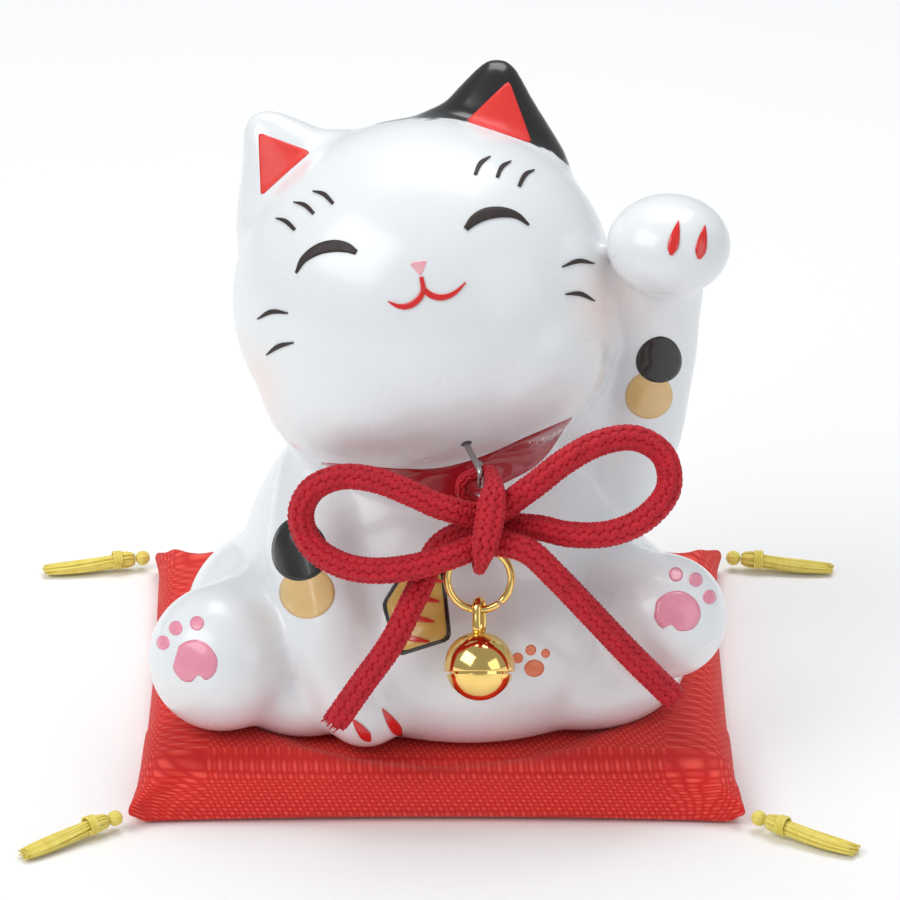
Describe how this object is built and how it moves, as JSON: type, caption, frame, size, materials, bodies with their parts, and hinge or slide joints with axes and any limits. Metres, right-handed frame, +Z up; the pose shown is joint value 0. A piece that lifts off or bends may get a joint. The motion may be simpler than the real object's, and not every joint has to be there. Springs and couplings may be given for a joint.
{
  "type": "beckoning cat figurine",
  "caption": "Seated ceramic cat with one raised paw, a cord bow, jump ring and jingle bell on a chin hook, on a square cushion with corner tassels.",
  "frame": {"origin": "centre of the cushion's underside, which rests on the table", "axes": "+Z up; -Y is the way the cat faces; +X is towards the cat's raised left paw"},
  "size_m": [0.0996, 0.0762, 0.078],
  "materials": {
    "white_glaze": "glossy white glaze with painted marks",
    "steel_wire": "drawn wire",
    "crimson_cord": "braided cord",
    "gold_plating": "polished gold-coloured plating",
    "clapper_steel": "plain ball",
    "red_cloth": "woven twill",
    "wadding": "loose fibre wadding",
    "yellow_yarn": "soft yarn"
  },
  "bodies": {
    "cushion": {"cushion_top_panel": "red_cloth", "cushion_bottom_panel": "red_cloth", "cushion_filling": "wadding"},
    "figurine": {"figurine_body": "white_glaze", "wire_hook": "steel_wire"},
    "bow": {"bow_cord": "crimson_cord", "bow_tie": "crimson_cord"},
    "ring": {"jump_ring": "gold_plating"},
    "bell": {"bell_upper_shell": "gold_plating", "bell_lower_shell": "gold_plating", "bell_shank": "gold_plating"},
    "clapper": {"bell_clapper": "clapper_steel"},
    "tassel_bl": {"tassel_back_left": "yellow_yarn", "tassel_knot_back_left": "yellow_yarn"},
    "tassel_br": {"tassel_back_right": "yellow_yarn", "tassel_knot_back_right": "yellow_yarn"},
    "tassel_fl": {"tassel_front_left": "yellow_yarn", "tassel_knot_front_left": "yellow_yarn"},
    "tassel_fr": {"tassel_front_right": "yellow_yarn", "tassel_knot_front_right": "yellow_yarn"}
  },
  "joints": [
    {"name": "figurine_lift", "type": "slide", "parent": "cushion", "child": "figurine", "axis": [0, 0, 1], "range_m": [0, 0.05]},
    {"name": "bow_swing", "type": "hinge", "parent": "figurine", "child": "bow", "pos_m": [0.0049, -0.02048, 0.03902], "axis": [-1, 0, 0], "range_deg": [0, 50]},
    {"name": "ring_swing", "type": "hinge", "parent": "bow", "child": "ring", "pos_m": [0.00485, -0.02506, 0.03179], "axis": [-1, 0, 0], "range_deg": [0, 45]},
    {"name": "bell_swing", "type": "hinge", "parent": "ring", "child": "bell", "pos_m": [0.00485, -0.0267, 0.02468], "axis": [-1, 0, 0], "range_deg": [0, 45]},
    {"name": "clapper_rattle", "type": "slide", "parent": "bell", "child": "clapper", "axis": [0, 0.4695, 0.8829], "range_m": [0, 0.0036]},
    {"name": "tassel_bl_lift", "type": "hinge", "parent": "cushion", "child": "tassel_bl", "pos_m": [-0.03695, 0.034, 0.0016], "axis": [-0.1736, 0.9848, 0], "range_deg": [0, 60]},
    {"name": "tassel_br_lift", "type": "hinge", "parent": "cushion", "child": "tassel_br", "pos_m": [0.03695, 0.034, 0.0016], "axis": [-0.1392, -0.9903, 0], "range_deg": [0, 60]},
    {"name": "tassel_fl_lift", "type": "hinge", "parent": "cushion", "child": "tassel_fl", "pos_m": [-0.03695, -0.034, 0.0016], "axis": [-0.5299, 0.848, 0], "range_deg": [0, 60]},
    {"name": "tassel_fr_lift", "type": "hinge", "parent": "cushion", "child": "tassel_fr", "pos_m": [0.03695, -0.034, 0.0016], "axis": [-0.5446, -0.8387, 0], "range_deg": [0, 60]}
  ]
}
